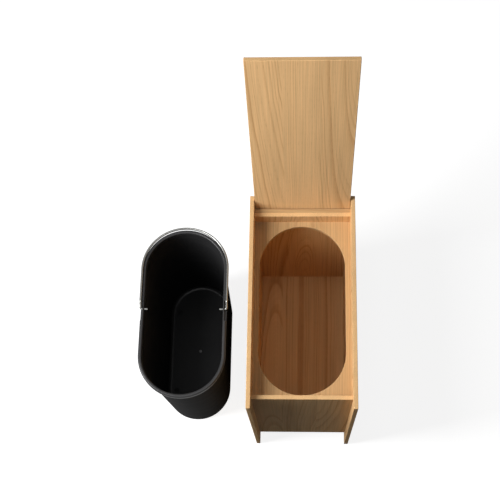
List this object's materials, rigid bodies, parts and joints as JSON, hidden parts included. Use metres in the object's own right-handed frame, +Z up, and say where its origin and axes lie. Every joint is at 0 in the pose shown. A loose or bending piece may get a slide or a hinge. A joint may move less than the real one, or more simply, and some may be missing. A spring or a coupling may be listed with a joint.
{
  "type": "kitchen waste bin",
  "caption": "Oak kitchen bin housing with a swinging lid over an oval carrier shelf, and its lift-out plastic bucket with a folding wire bail.",
  "frame": {"origin": "bottom centre of the whole set as it stands: the housing with its lid open at the right, the bucket at its left", "axes": "+Z up, +X to the right from the bucket towards the housing, and the front faces -Y"},
  "size_m": [0.4188, 0.4771, 0.7859],
  "materials": {
    "oak": "oiled",
    "beech_dowel": "raw",
    "glide_plastic": "matte",
    "bush_brass": "satin",
    "pad_rubber": "matte",
    "pin_steel": "brushed",
    "bucket_plastic": "matte",
    "bail_steel": "brushed"
  },
  "bodies": {
    "housing": {"side_panel_left": "oak", "side_panel_right": "oak", "front_panel": "oak", "back_panel": "oak", "lid_stop_rail": "oak", "floor_panel": "oak", "bucket_board": "oak", "front_panel_dowels": "beech_dowel", "back_panel_dowels": "beech_dowel", "floor_panel_dowels": "beech_dowel", "bucket_board_dowels": "beech_dowel", "stop_rail_dowels": "beech_dowel", "foot_glides": "glide_plastic", "pivot_bush_left": "bush_brass", "pivot_bush_right": "bush_brass", "lid_stop_pad_left": "pad_rubber", "lid_stop_pad_right": "pad_rubber"},
    "lid": {"lid_panel": "oak", "lid_pin_left": "pin_steel", "lid_pin_right": "pin_steel"},
    "bucket": {"bucket_shell": "bucket_plastic"},
    "bail": {"bail_wire": "bail_steel"}
  },
  "joints": [
    {"name": "lid_hinge", "type": "hinge", "parent": "housing", "child": "lid", "pos_m": [0.10942, 0.1611, 0.396], "axis": [1, 0, 0], "range_deg": [0, 100.7]},
    {"name": "bucket_lift", "type": "slide", "parent": "housing", "child": "bucket", "axis": [0, 0, 1], "range_m": [0, 0.4]},
    {"name": "bail_hinge", "type": "hinge", "parent": "bucket", "child": "bail", "pos_m": [-0.12258, -0.0246, 0.3135], "axis": [1, 0, 0], "range_deg": [0, 140]}
  ]
}
